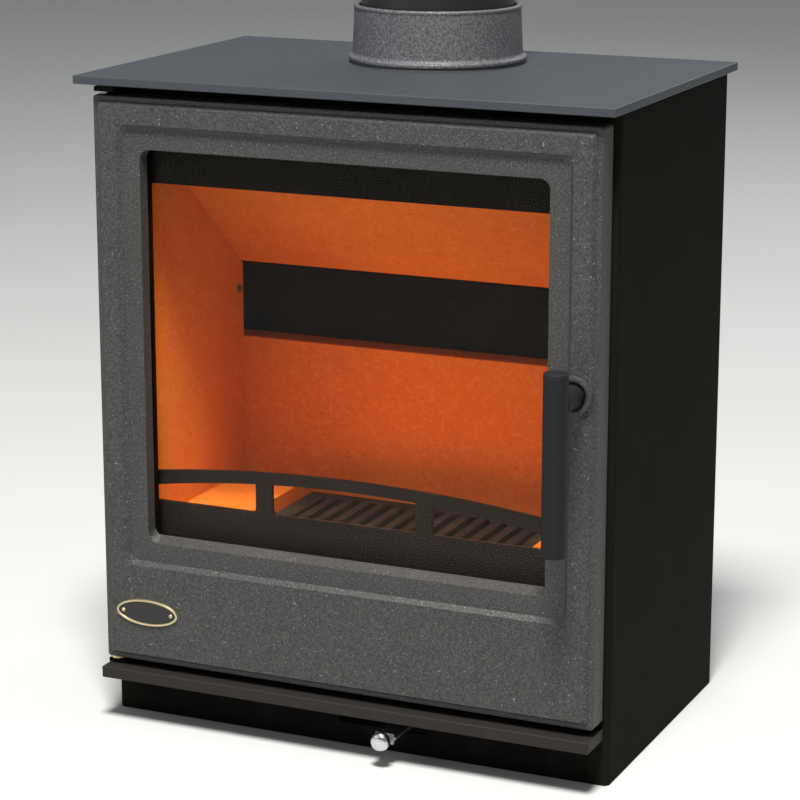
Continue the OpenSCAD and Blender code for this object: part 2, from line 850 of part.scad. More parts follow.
module spindle_nut() {
    color(bright_steel) in_frame() difference() {
        translate([spindle_x, 23.4, spindle_z]) rotate([-90, 0, 0]) hex_head(7.6, 4);
        rod_y(4.05, spindle_x, [22, 30], spindle_z);
    }
}

left_side_panel();
right_side_panel();
front_frame();
base_plate();
hearth_plate();
firebox_top();
rear_wall();
rear_shield();
shield_screws();
blanking_plate();
blanking_bolts();
top_plate();
top_plate_bolts();
flue_collar();
collar_gasket();
collar_clamps();
collar_bolts();
flue_pipe();
pipe_rope();
ash_lip();
plinth_front();
air_box();
air_port_plate();
slider_guides();
left_air_riser();
right_air_riser();
airwash_duct();
air_chamber();
left_brick();
right_brick();
rear_brick();
left_hearth_brick();
right_hearth_brick();
baffle();
brick_screws();
grate();
ash_pan();
log_guard();
hinge_bracket_top();
hinge_bracket_bottom();
hinge_pins();
hinge_washer();
latch_keeper();
door_frame();
door_glass();
glass_gasket();
glass_retainers();
retainer_screws();
door_rope();
badge();
badge_pins();
door_handle();
handle_spindle();
latch_cam();
spindle_washer();
spindle_nut();
air_slider();
air_knob();
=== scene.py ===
import json
from math import cos, pi, radians, sin

import bmesh
import bpy
from mathutils import Matrix, Vector


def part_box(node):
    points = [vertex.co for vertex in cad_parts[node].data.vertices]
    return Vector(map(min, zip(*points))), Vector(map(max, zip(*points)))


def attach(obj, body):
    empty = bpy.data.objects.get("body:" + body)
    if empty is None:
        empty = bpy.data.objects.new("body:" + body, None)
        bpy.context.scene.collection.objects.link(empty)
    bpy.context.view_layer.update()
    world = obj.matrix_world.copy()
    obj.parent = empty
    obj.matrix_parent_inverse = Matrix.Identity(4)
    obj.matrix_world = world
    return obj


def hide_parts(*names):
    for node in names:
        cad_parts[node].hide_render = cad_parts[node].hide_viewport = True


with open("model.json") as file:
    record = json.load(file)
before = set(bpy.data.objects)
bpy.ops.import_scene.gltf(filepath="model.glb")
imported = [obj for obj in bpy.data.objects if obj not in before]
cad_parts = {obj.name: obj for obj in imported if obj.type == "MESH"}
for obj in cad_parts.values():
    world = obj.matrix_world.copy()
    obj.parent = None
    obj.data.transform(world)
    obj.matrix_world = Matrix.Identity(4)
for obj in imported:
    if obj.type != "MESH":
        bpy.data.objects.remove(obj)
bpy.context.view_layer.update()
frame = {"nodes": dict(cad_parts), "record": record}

# Looks of a steel wood burning stove with a cast door. Lengths in the calls below are in
# millimetres: x from the stove's middle, y from the door's face to the back, z from the floor.
MM = 0.001
FACE_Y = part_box("badge")[1].y
RECORD = frame["record"]
SLOT_OF = {part["node"]: part["material_slot"] for part in RECORD["subparts"]}
BODY_OF = {n: body for body, nodes in RECORD["behaviour"]["bodies"].items() for n in nodes}


def at(x, y, z):
    """A point given in the stove's own millimetres."""
    return Vector((x * MM, FACE_Y + y * MM, z * MM))


def extent(node):
    """A CAD node's ranges in x, y and z, in the stove's own millimetres."""
    low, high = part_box(node)
    origin = (0, FACE_Y, 0)
    return [((low[i] - origin[i]) / MM, (high[i] - origin[i]) / MM) for i in range(3)]


ORIGIN = at(0, 0, 0)
SPINDLE = at(199.3, 0, 326)
FLUE_Y = 198.6
BADGE_PIN_X = 22.4
UP, BACKWARDS = (0, 0, 1), (0, 1, 0)


# ---------------------------------------------------------------- finishes


class Value:
    """A node's output. Arithmetic on it adds Math nodes."""

    def __init__(self, finish, socket):
        self.finish = finish
        self.socket = socket

    def maths(self, operation, *terms):
        return self.finish.node("Math", dict(enumerate(terms)), operation=operation)

    def __add__(self, other):
        return self.maths("ADD", self, other)

    def __radd__(self, other):
        return self.maths("ADD", other, self)

    def __sub__(self, other):
        return self.maths("SUBTRACT", self, other)

    def __rsub__(self, other):
        return self.maths("SUBTRACT", other, self)

    def __mul__(self, other):
        return self.maths("MULTIPLY", self, other)

    def __rmul__(self, other):
        return self.maths("MULTIPLY", other, self)


class Finish:
    """A material under construction: one Principled shader and whatever feeds it."""

    def __init__(self, name, **constants):
        self.material = bpy.data.materials.new(name)
        self.material.use_nodes = True
        self.tree = self.material.node_tree
        self.shader = self.tree.nodes["Principled BSDF"]
        for key, value in constants.items():
            self.shader.inputs[key.replace("_", " ").title().replace("Ior", "IOR")].default_value = value
        self.place = self.node("TexCoord", output="Object")

    def node(self, kind, sockets=(), output=0, **settings):
        made = self.tree.nodes.new("ShaderNode" + kind)
        for key, value in settings.items():
            setattr(made, key, value)
        for key, value in dict(sockets).items():
            self.feed(made.inputs[key], value)
        return Value(self, made.outputs[output])

    def feed(self, socket, value):
        if isinstance(value, Value):
            self.tree.links.new(value.socket, socket)
        else:
            socket.default_value = value

    def noise(self, size, detail=2.0, roughness=0.5, stretch=(1, 1, 1)):
        """Soft random pattern whose blobs are about size millimetres across."""
        scale = 1 / (size * MM)
        place = self.place
        if stretch != (1, 1, 1):
            place = self.node("Mapping", {"Vector": place, "Scale": stretch})
        return self.node("TexNoise", {"Vector": place, "Scale": scale, "Detail": detail,
                                      "Roughness": roughness})

    def step(self, value, low, high):
        """0 below low, 1 above high, smooth between them."""
        return self.node("MapRange", {0: value, 1: low, 2: high}, interpolation_type="SMOOTHSTEP")

    def blend(self, mask, first, second):
        paint = [(*c, 1) if isinstance(c, tuple) and len(c) == 3 else c for c in (first, second)]
        return self.node("Mix", {0: mask, 6: paint[0], 7: paint[1]}, output=2, data_type="RGBA")

    def bump(self, height, distance):
        """Raises the surface by up to distance millimetres where height is 1."""
        self.set(Normal=self.node("Bump", {"Height": height, "Distance": distance * MM, "Strength": 1.0}))

    def set(self, **varying):
        for key, value in varying.items():
            self.feed(self.shader.inputs[key.replace("_", " ")], value)


def flecked_paint(name, dark, light, fleck, grain=0.55, relief=0.10):
    """Metallic stove paint over sandy cast iron: a mottled grey ground with fine bright flecks."""
    f = Finish(name)
    sand = f.noise(grain, detail=3, roughness=0.65)
    broad = f.noise(60, detail=3)
    mottle = f.step(f.noise(grain * 1.7, detail=2, roughness=0.7), 0.34, 0.66)
    flecks = f.step(f.noise(grain * 1.3, detail=1), 0.66, 0.76)
    sparks = f.step(f.noise(grain * 3.0, detail=1), 0.72, 0.78)
    ground = f.blend(mottle * 0.8 + broad * 0.2, dark, light)
    f.set(Base_Color=f.blend(flecks * 0.6 + sparks * 0.4, ground, fleck),
          Roughness=0.50 + 0.16 * broad - 0.12 * flecks, Metallic=0.10 + flecks * 0.4)
    f.bump(sand + sparks * 0.3, relief)
    return f.material


def satin_paint(name, colour, worn, roughness, relief=0.03, grain=0.7, cloud=45, level=0.5):
    """Sprayed stove paint on smooth steel, a little uneven, lighter where it has been rubbed."""
    f = Finish(name, specular_ior_level=level)
    broad = f.noise(cloud, detail=4, roughness=0.6)
    fine = f.noise(grain, detail=2)
    rubbed = f.step(f.noise(cloud * 0.6, detail=5, roughness=0.7), 0.58, 0.80)
    dust = f.step(fine, 0.55, 0.75)
    f.set(Base_Color=f.blend(rubbed * 0.4 + dust * 0.35, colour, worn),
          Roughness=roughness + 0.14 * broad - 0.05 * rubbed)
    f.bump(fine, relief)
    return f.material


def vermiculite(name):
    """Pressed vermiculite board whose tan tone is painted deep orange as painted firelight, with fine
    flakes and dark specks.
    """
    f = Finish(name, specular_ior_level=0.15)
    flakes = f.node("TexVoronoi", {"Vector": f.place, "Scale": 1 / (2.4 * MM), "Randomness": 1.0},
                    output="Color")
    pick = f.node("SeparateColor", {0: flakes}, output=0)
    broad = f.noise(90, detail=4, roughness=0.6)
    grit = f.noise(1.4, detail=3, roughness=0.65)
    specks = f.step(f.noise(3.2, detail=1), 0.68, 0.76)
    # Painted firelight: every board colour below is a saturated orange that stands in for the fire's glow
    # on tan board.
    ground = f.blend(broad, (0.47, 0.125, 0.014), (0.60, 0.185, 0.022))
    flaked = f.blend(f.step(pick, 0.70, 0.95) * 0.28, ground, (0.72, 0.30, 0.055))
    worn = f.blend(f.step(grit, 0.52, 0.80) * 0.35, flaked, (0.30, 0.065, 0.014))
    f.set(Base_Color=f.blend(specks * 0.45, worn, (0.16, 0.035, 0.010)), Roughness=0.86 + 0.12 * grit)
    f.bump(grit + pick * 0.35, 0.35)
    return f.material


def scorched(name, dark, light, roughness=0.62, level=0.25):
    """Matt black paint inside the fire, greyed in clouds by heat and ash."""
    f = Finish(name, specular_ior_level=level)
    soot = f.noise(34, detail=5, roughness=0.65)
    fine = f.noise(0.45, detail=2)
    f.set(Base_Color=f.blend(f.step(soot, 0.48, 0.78), dark, light), Roughness=roughness + 0.20 * soot)
    f.bump(fine, 0.004)
    return f.material


def plain_metal(name, colour, roughness, along=(1, 1, 1)):
    """Bare metal with fine lines from rolling or turning."""
    f = Finish(name, metallic=1.0)
    cloud = f.noise(12, detail=3)
    scratch = f.noise(0.8, detail=2, stretch=along)
    f.set(Base_Color=f.blend(cloud * 0.5, colour, tuple(c * 0.72 for c in colour)),
          Roughness=roughness + 0.12 * scratch + 0.05 * cloud)
    f.bump(scratch, 0.02)
    return f.material


def braid(name, dark, light):
    """Glass fibre yarn rubbed with graphite."""
    f = Finish(name, specular_ior_level=0.3)
    yarn = f.noise(0.7, detail=3, roughness=0.7)
    patch = f.noise(14, detail=2)
    f.set(Base_Color=f.blend(yarn * 0.7 + patch * 0.3, dark, light), Roughness=0.82 + 0.15 * yarn)
    f.bump(yarn, 0.3)
    return f.material


def stove_glass(name):
    """Clear glass with a faint smoky film. It reflects less than real glass and lets lamps through."""
    f = Finish(name, base_color=(0.95, 0.90, 0.82, 1), transmission_weight=1.0, ior=1.15)
    film = f.noise(55, detail=4, roughness=0.6)
    f.set(Roughness=0.012 + 0.05 * f.step(film, 0.5, 0.8))
    through = f.node("BsdfTransparent", {"Color": (0.90, 0.82, 0.70, 1)})
    from_lamp = f.node("LightPath", output="Is Shadow Ray")
    shader = Value(f, f.shader.outputs["BSDF"])
    mixed = f.node("MixShader", {0: from_lamp, 1: shader, 2: through})
    f.feed(f.tree.nodes["Material Output"].inputs["Surface"], mixed)
    return f.material


def hearth_floor(name):
    """Plain pale floor."""
    f = Finish(name)
    cloud = f.noise(900, detail=3)
    f.set(Base_Color=f.blend(cloud, (0.54, 0.54, 0.53), (0.58, 0.58, 0.57)), Roughness=0.75 + 0.1 * cloud)
    return f.material


CAST = flecked_paint("cast_paint", (0.0145, 0.0145, 0.014), (0.058, 0.058, 0.0565),
                     (0.36, 0.36, 0.355), 0.95)
COLLAR = flecked_paint("collar_paint", (0.036, 0.037, 0.041), (0.125, 0.127, 0.136),
                       (0.38, 0.38, 0.39), 1.0, 0.14)
# Painted reflection: the charcoal is tinted blue to stand in for sky reflected on the top.
TOP = satin_paint("top_paint", (0.028, 0.034, 0.041), (0.058, 0.067, 0.080), 0.46, grain=1.4, cloud=70)
# Painted shade: this near-black is darker than the paint's own tone and tinted olive, standing in for the
# shade on the side sheets.
BODY = satin_paint("body_paint", (0.0080, 0.0088, 0.0058), (0.016, 0.017, 0.012), 0.62,
                   cloud=80, level=0.02)
HANDLE = satin_paint("handle_paint", (0.014, 0.0155, 0.0165), (0.023, 0.025, 0.027), 0.45,
                     relief=0.02, cloud=20, level=0.08)
LEDGE = satin_paint("ledge_paint", (0.018, 0.0155, 0.0138), (0.040, 0.036, 0.035), 0.52,
                    relief=0.04, level=0.20)
ENAMEL = satin_paint("flue_enamel", (0.012, 0.012, 0.0125), (0.018, 0.018, 0.019), 0.30,
                     relief=0.01, level=0.4)
SOOTY = scorched("fire_steel", (0.0050, 0.0043, 0.0036), (0.012, 0.0105, 0.0086), level=0.04)
GUARD = satin_paint("guard_paint", (0.0050, 0.0038, 0.0028), (0.0130, 0.0095, 0.0062), 0.34,
                    relief=0.01, cloud=26, level=0.16)
GRATE = scorched("grate_iron", (0.014, 0.012, 0.010), (0.048, 0.042, 0.036), 0.62)
BRICK = vermiculite("brick_board")
STEEL = plain_metal("plain_steel", (0.42, 0.42, 0.42), 0.38)
BRIGHT = plain_metal("bright_steel", (0.66, 0.66, 0.67), 0.14, along=(1, 12, 1))
BRASS = plain_metal("brass", (0.72, 0.60, 0.36), 0.30)
ENAMEL_BLACK = satin_paint("badge_enamel", (0.008, 0.008, 0.008), (0.015, 0.015, 0.014), 0.30)
ROPE = braid("seal_rope", (0.030, 0.029, 0.028), (0.16, 0.155, 0.15))
GLASS = stove_glass("stove_glass")
FINISH_OF_SLOT = {
    "body_paint": BODY, "inner_steel": SOOTY, "top_paint": TOP, "cast_paint": CAST, "cast_grate": GRATE,
    "flue_enamel": ENAMEL, "seal_rope": ROPE, "brick_board": BRICK, "plain_steel": STEEL,
    "bright_steel": BRIGHT, "brass": BRASS, "stove_glass": GLASS,
}


# ---------------------------------------------------------------- shaping


def block(bm, x, y, z):
    """A box between ranges. Returns its faces."""
    middle = at(sum(x) / 2, sum(y) / 2, sum(z) / 2)
    size = Matrix.Diagonal(((x[1] - x[0]) * MM, (y[1] - y[0]) * MM, (z[1] - z[0]) * MM, 1))
    made = bmesh.ops.create_cube(bm, size=1, matrix=Matrix.Translation(middle) @ size)
    return list({f for v in made["verts"] for f in v.link_faces})


def facing(faces, direction):
    """The one of these faces that looks most nearly that way."""
    for f in faces:
        f.normal_update()
    return max(faces, key=lambda f: f.normal.dot(Vector(direction)))


def step_in(bm, face, inwards, along=0.0):
    """Insets a face and moves it along its normal, leaving a flat border, a wall or a slope."""
    bmesh.ops.inset_individual(bm, faces=[face], thickness=inwards * MM, depth=along * MM,
                               use_even_offset=True)
    face.normal_update()


def uprights(face):
    """Edges that leave a face at its corners."""
    return [e for v in face.verts for e in v.link_edges if e not in face.edges]


def fit_face(face, x, z):
    """Moves a four-cornered face's corners to these ranges."""
    centre = face.calc_center_median()
    for v in face.verts:
        v.co.x = x[v.co.x > centre.x] * MM
        v.co.z = z[v.co.z > centre.z] * MM


def sharp(bm, angle=25, where=lambda middle: True):
    """Edges where the surface turns by more than angle."""
    for f in bm.faces:
        f.normal_update()
    return [e for e in bm.edges if len(e.link_faces) == 2 and e.calc_face_angle(0) > radians(angle)
            and where((e.verts[0].co + e.verts[1].co) / 2)]


def ease(bm, edges, radius, segments=2):
    """Rounds edges over."""
    if edges:
        bmesh.ops.bevel(bm, geom=edges, offset=radius * MM, offset_type="OFFSET", segments=segments,
                        profile=0.5, affect="EDGES", clamp_overlap=True, material=-1)


def turned(bm, profile, centre, axis, steps=96):
    """Turns a closed profile of (radius, height) pairs about an axis through centre."""
    along = Vector(axis)
    out = Vector((1, 0, 0)) if abs(along.x) < 0.5 else Vector((0, 0, 1))
    ring = [bm.verts.new(centre + out * (r * MM) + along * (h * MM)) for r, h in profile]
    edges = [bm.edges.new((a, b)) for a, b in zip(ring, ring[1:] + ring[:1])]
    bmesh.ops.spin(bm, geom=ring + edges, cent=centre, axis=along, angle=2 * pi, steps=steps,
                   use_merge=True)


def rod(bm, radius, centre, axis, length, rim=0.6, segments=48):
    """A bar with eased ends, from centre along axis."""
    turn = Vector((0, 0, 1)).rotation_difference(Vector(axis)).to_matrix().to_4x4()
    middle = Matrix.Translation(centre + Vector(axis) * (length * MM / 2))
    made = bmesh.ops.create_cone(bm, cap_ends=True, segments=segments, radius1=radius * MM,
                                 radius2=radius * MM, depth=length * MM, matrix=middle @ turn)
    rims = [e for e in {e for v in made["verts"] for e in v.link_edges}
            if e.calc_face_angle(0) > radians(50)]
    ease(bm, rims, rim, 3)


def show(name, bm, nodes, finish, more=(), angle=40):
    """Turns a bmesh into a piece that rides its body and stands for these CAD nodes."""
    bmesh.ops.remove_doubles(bm, verts=bm.verts[:], dist=0.000002)
    bmesh.ops.recalc_face_normals(bm, faces=bm.faces[:])
    mesh = bpy.data.meshes.new(name)
    bm.to_mesh(mesh)
    bm.free()
    mesh.polygons.foreach_set("use_smooth", [True] * len(mesh.polygons))
    mesh.set_sharp_from_angle(angle=radians(angle))
    for paint in (finish, *more):
        mesh.materials.append(paint)
    piece = bpy.data.objects.new(name, mesh)
    bpy.context.scene.collection.objects.link(piece)
    even = piece.modifiers.new("even_shading", "WEIGHTED_NORMAL")
    even.keep_sharp = True
    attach(piece, BODY_OF[nodes[0]])
    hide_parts(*nodes)
    return piece


def softened(node, finish, radius=0.5, segments=2):
    """A CAD node's own shape with its edges eased."""
    bm = bmesh.new()
    bm.from_mesh(frame["nodes"][node].data)
    bmesh.ops.remove_doubles(bm, verts=bm.verts[:], dist=0.000005)
    bmesh.ops.dissolve_limit(bm, angle_limit=radians(0.8), verts=bm.verts[:], edges=bm.edges[:])
    ease(bm, sharp(bm, 40), radius, segments)
    show(node + "_eased", bm, [node], finish)


# ---------------------------------------------------------------- door


def door_casting():
    """The cast door: a raised face with a sunk field round the glass, and the rope's groove behind.

    The spindle and the hinge pins pass through it without bores, which doesn't show from outside.
    """
    x, _, z = extent("door_frame")
    half = x[1]
    rim_y, back_y, glass_y = 4, 26, 15
    sill_rise = 3.0
    bm = bmesh.new()
    faces = block(bm, x, (rim_y, back_y), z)
    front, back = facing(faces, (0, -1, 0)), facing(faces, (0, 1, 0))

    corners = {3: uprights(front)}
    step_in(bm, front, 4.5)
    step_in(bm, front, 0, 1.5)
    raised = uprights(front)
    step_in(bm, front, 2.5, 2.5)
    raised += uprights(front)
    step_in(bm, front, 14)
    fit_face(front, (-196.7, 196.7), (140, 510.2))
    step_in(bm, front, 3.7, -4)
    corners[5.5] = uprights(front)
    step_in(bm, front, 16.4)
    reveal_z = [v.co.z for v in front.verts]
    step_in(bm, front, 0.4, -11)
    for v in front.verts:
        if v.co.z < sum(reveal_z) / 4:
            v.co.z += sill_rise * MM
    corners[8.5] = uprights(front)
    corners[2.5] = raised

    step_in(bm, back, 4)
    step_in(bm, back, 0, -17)
    step_in(bm, back, 20)
    fit_face(back, (-190.7, 190.7), (65.4, 512.6))
    for inwards, along in ((0, 15.5), (1.5, 0), (0, -2.3), (6.2, 0), (0, 2.3), (1.7, 0), (0, -15.5)):
        step_in(bm, back, inwards, along)
    step_in(bm, back, 0.3)
    fit_face(back, (-181, 181), (146, 503))
    step_in(bm, back, 0, 11.2)
    step_in(bm, back, 0.3)
    fit_face(back, (-180.6, 180.6), (154.3, 495.7))
    step_in(bm, back, 0, -5.2)
    for radius, edges in corners.items():
        ease(bm, edges, radius, 6)

    level = FACE_Y + glass_y * MM
    open_faces = [f for f in bm.faces if all(abs(v.co.y - level) < 0.02 * MM for v in f.verts)]
    rims = [e for f in open_faces for e in f.edges]
    bmesh.ops.delete(bm, geom=open_faces, context="FACES_ONLY")
    bmesh.ops.bridge_loops(bm, edges=rims)

    brim = [e for e in sharp(bm, 60)
            if abs(sum(v.co.y for v in e.verts) / 2 - FACE_Y - rim_y * MM) < 0.3 * MM
            and (abs(e.verts[0].co.x) > 214 * MM or not z[0] + 4 < e.verts[0].co.z / MM < z[1] - 4)]
    ease(bm, brim, 1.8, 4)
    ease(bm, sharp(bm, 20, lambda m: m.y < FACE_Y + 14 * MM), 0.8, 3)
    ease(bm, sharp(bm, 40, lambda m: m.y > FACE_Y + 25 * MM), 0.6, 2)

    hub = [(5.2, 6), (5.2, 0.2), (11.0, 0.2), (11.5, -0.2), (11.5, -3.2), (12.3, -4), (14.5, -4),
           (15.2, -3.7), (15.5, -3), (15.5, 6)]
    turned(bm, hub, SPINDLE, BACKWARDS)
    block(bm, (190, half - 4), (9, 18), (312, 340))
    boss_height = 31
    for low in (z[0], z[1] - boss_height):
        block(bm, (-half + 2, -203.5), (9, 21.5), (low, low + boss_height))
    show("door_casting", bm, ["door_frame"], CAST)


def door_rope():
    """Three yarns twisted into the rope that seals the door, as one closed loop."""
    x, y, z = extent("door_rope")
    r = (y[1] - y[0]) / 2
    bend, turns, steps = 20, 112, 1344
    half_w, half_h = (x[1] - x[0]) / 2 - r, (z[1] - z[0]) / 2 - r
    mid = ((x[0] + x[1]) / 2, (y[0] + y[1]) / 2, (z[0] + z[1]) / 2)
    straight_w, straight_h, quarter = 2 * (half_w - bend), 2 * (half_h - bend), bend * pi / 2
    runs = [(straight_h, None), (quarter, 0), (straight_w, None), (quarter, 90),
            (straight_h, None), (quarter, 180), (straight_w, None), (quarter, 270)]
    length = sum(run for run, _ in runs)
    corner = [(half_w - bend, half_h - bend), (-half_w + bend, half_h - bend),
              (-half_w + bend, -half_h + bend), (half_w - bend, -half_h + bend)]
    outward = [(1, 0), (0, 1), (-1, 0), (0, -1)]

    def middle_line(s):
        for index, (run, _) in enumerate(runs):
            if s <= run:
                break
            s -= run
        side = index // 2
        ux, uz = outward[side]
        if index % 2 == 0:
            cx, cz = corner[side - 1 if side else 3]
            return cx + ux * bend - uz * s, cz + uz * bend + ux * s, ux, uz
        angle = s / bend
        ox = ux * cos(angle) - uz * sin(angle)
        oz = uz * cos(angle) + ux * sin(angle)
        cx, cz = corner[side]
        return cx + ox * bend, cz + oz * bend, ox, oz

    curve = bpy.data.curves.new("door_rope_line", "CURVE")
    curve.dimensions = "3D"
    curve.bevel_depth = r * 0.56 * MM
    curve.bevel_resolution = 2
    for yarn in range(3):
        line = curve.splines.new("POLY")
        line.points.add(steps - 1)
        line.use_cyclic_u = True
        for i in range(steps):
            px, pz, ox, oz = middle_line(length * i / steps)
            twist = 2 * pi * (turns * i / steps + yarn / 3)
            swing = r * 0.44
            spot = at(mid[0] + px + ox * swing * cos(twist), mid[1] + swing * sin(twist),
                      mid[2] + pz + oz * swing * cos(twist))
            line.points[i].co = (*spot, 1)
    wound = bpy.data.objects.new("door_rope_line", curve)
    bm = bmesh.new()
    bm.from_mesh(wound.to_mesh())
    wound.to_mesh_clear()
    bpy.data.objects.remove(wound)
    show("twisted_door_rope", bm, ["door_rope"], ROPE, angle=80)


def glass_pane():
    """The door's glass, with eased edges."""
    x, y, z = extent("door_glass")
    bm = bmesh.new()
    block(bm, (x[0] + 1, x[1] - 1), y, z)
    ease(bm, sharp(bm), 0.5)
    show("glass_pane", bm, ["door_glass"], GLASS)


def oval_badge():
    """A blank oval plate: a raised brass rim round a black enamel field."""
    x, y, z = extent("badge")
    bm = bmesh.new()
    centre = at(sum(x) / 2, y[1], sum(z) / 2)
    shape = Matrix.Diagonal(((x[1] - x[0]) / 2, (z[1] - z[0]) / 2, 1, 1))
    place = Matrix.Translation(centre) @ Matrix.Rotation(radians(90), 4, "X") @ shape
    bmesh.ops.create_circle(bm, cap_ends=True, segments=96, radius=MM, matrix=place)
    plate = bm.faces[:][0]
    plate.normal_update()
    if plate.normal.y > 0:
        plate.normal_flip()
    step_in(bm, plate, 0.0, 1.4)
    step_in(bm, plate, 0.35, 0.35)
    step_in(bm, plate, 1.3, 0.0)
    step_in(bm, plate, 0.3, -0.7)
    plate.material_index = 1
    show("oval_badge", bm, ["badge"], BRASS, [ENAMEL_BLACK], angle=50)
    bm = bmesh.new()
    head = [(0.001, -2.3), (0.8, -2.2), (1.5, -1.8), (1.8, -1.2), (1.8, 2), (0.001, 2)]
    for side in (-BADGE_PIN_X, BADGE_PIN_X):
        turned(bm, head, at(sum(x) / 2 + side, 0, sum(z) / 2), BACKWARDS, 32)
    show("badge_pin_heads", bm, ["badge_pins"], BRASS)


def handle():
    """A round bar that hangs from the end of its spindle."""
    x, y, z = extent("door_handle")
    middle = (sum(x) / 2, sum(y) / 2)
    radius = (x[1] - x[0]) / 2
    bm = bmesh.new()
    rod(bm, radius, at(*middle, z[0]), UP, z[1] - z[0], rim=1.1, segments=72)
    show("handle_bar", bm, ["door_handle"], HANDLE)
    bm = bmesh.new()
    stem = [(0.01, -33), (9.5, -33), (9.5, -7), (8.9, -5.4), (8.9, -2.6), (9.5, -1.6), (9.5, -0.6),
            (5, -0.6), (5, 19.3), (4, 19.3), (4, 27.7), (3.5, 28.2), (0.01, 28.2)]
    turned(bm, stem, SPINDLE, BACKWARDS)
    show("handle_stem", bm, ["handle_spindle"], HANDLE)


# ---------------------------------------------------------------- body


def top_plate():
    """The steel top with the flue's opening in it."""
    x, y, z = extent("top_plate")
    bm = bmesh.new()
    block(bm, x, y, z)
    bore = at(0, FLUE_Y, z[0])
    bore_radius = 66
    for f in bm.faces[:]:
        f.normal_update()
        if abs(f.normal.z) > 0.5:
            bmesh.ops.delete(bm, geom=[f], context="FACES_ONLY")
    for height in z:
        bmesh.ops.create_circle(bm, segments=96, radius=bore_radius * MM,
                                matrix=Matrix.Translation((bore.x, bore.y, height * MM)))
        level = [e for e in bm.edges if all(abs(v.co.z - height * MM) < 1e-7 for v in e.verts)]
        bmesh.ops.triangle_fill(bm, use_beauty=True, use_dissolve=False, edges=level)
    rims = [e for e in bm.edges if e.is_boundary]
    bmesh.ops.bridge_loops(bm, edges=rims)
    outside = [e for e in sharp(bm, 60) if abs(e.verts[0].co.x) > 200 * MM]
    ease(bm, outside, 0.9, 3)
    show("top_plate_sheet", bm, ["top_plate"], TOP)


def side_panels():
    """Each side is one sheet with a folded front edge."""
    x, y, z = extent("right_side_panel")
    inner, outer, front = x[0], x[1], y[0]
    sheet = 4
    outline = [(inner, front), (outer, front), (outer, y[1]), (outer - sheet, y[1]),
               (outer - sheet, front + sheet), (inner, front + sheet)]
    for side in (-1, 1):
        bm = bmesh.new()
        corners = [bm.verts.new(at(side * px, py, z[0])) for px, py in outline]
        foot = bm.faces.new(corners)
        grown = bmesh.ops.extrude_face_region(bm, geom=[foot])["geom"]
        bmesh.ops.translate(bm, verts=[g for g in grown if isinstance(g, bmesh.types.BMVert)],
                            vec=(0, 0, (z[1] - z[0]) * MM))
        bmesh.ops.recalc_face_normals(bm, faces=bm.faces[:])

        def upright_at(px, py):
            spot = at(side * px, py, 0)
            return [e for e in bm.edges if abs(e.verts[0].co.z - e.verts[1].co.z) > 0.1
                    and all((Vector(v.co.xy) - Vector(spot.xy)).length < 0.5 * MM for v in e.verts)]

        ease(bm, upright_at(outer, front), 5, 8)
        ease(bm, upright_at(outer - sheet, front + sheet), 1.5, 4)
        ease(bm, sharp(bm, 60), 0.4)
        name = "right" if side > 0 else "left"
        show(name + "_side_sheet", bm, [name + "_side_panel"], BODY)


def ledge():
    """The flat shelf under the door."""
    x, y, z = extent("ash_lip")
    bm = bmesh.new()
    block(bm, x, y, z)
    ease(bm, sharp(bm), 1.2, 3)
    show("front_ledge", bm, ["ash_lip"], LEDGE)


def flue():
    """Cast collar bolted through the top, and the pipe in it."""
    top = extent("top_plate")[2][1]
    z = extent("flue_collar")[2]
    rim = z[1] - top
    centre = at(0, FLUE_Y, top)
    steps = 128
    bm = bmesh.new()
    flange = [(62, 2.6), (73.9, 2.6), (74.3, 3.1), (74.3, 4.8), (74.0, 5.5), (73.3, 6.0), (72.4, 6.6),
              (71.6, 7.6), (71.0, 9.2)]
    lip = [(69.5, rim - 4.2), (69.7, rim - 3.2), (70.05, rim - 2.2), (70.0, rim - 1.2),
           (69.5, rim - 0.4), (68.7, rim), (67.0, rim), (66.0, rim - 0.5), (65.5, rim - 1.4)]
    socket = [(65.5, 14), (62, 14)]
    turned(bm, flange + lip + socket, centre, UP, steps)
    for angle in (30, 150, 270):
        lug = block(bm, (50, 64), (-7, 7), (2.5, 8.5))
        spread = (Matrix.Translation(centre) @ Matrix.Rotation(radians(angle), 4, "Z")
                  @ Matrix.Translation(-ORIGIN))
        bmesh.ops.transform(bm, matrix=spread, verts=list({v for f in lug for v in f.verts}))
    show("cast_collar", bm, ["flue_collar"], COLLAR)

    bottom, end = extent("flue_pipe")[2]
    bm = bmesh.new()
    low, high = bottom - top, end - top
    pipe = [(61.5, low), (63.1, low), (63.1, rim - 1.5), (63.5, rim + 0.2), (63.5, high - 0.5),
            (63.1, high), (61.9, high), (61.5, high - 0.5)]
    turned(bm, pipe, centre, UP, steps)
    show("flue_pipe_tube", bm, ["flue_pipe"], ENAMEL)


def air_knob():
    """A turned knob on a short neck."""
    x, y, z = extent("air_knob")
    bm = bmesh.new()
    profile = [(0.01, 0), (4, 0), (4, -2.6), (5.6, -3.1), (7.2, -4.0), (7.9, -5.6), (8, -7.5),
               (7.9, -9.4), (7.2, -11.2), (5.6, -12.4), (3.4, -12.9), (0.01, -13)]
    turned(bm, profile, at(sum(x) / 2, y[1], sum(z) / 2), BACKWARDS, 64)
    show("air_knob_turned", bm, ["air_knob"], BRIGHT)


# ---------------------------------------------------------------- firebox


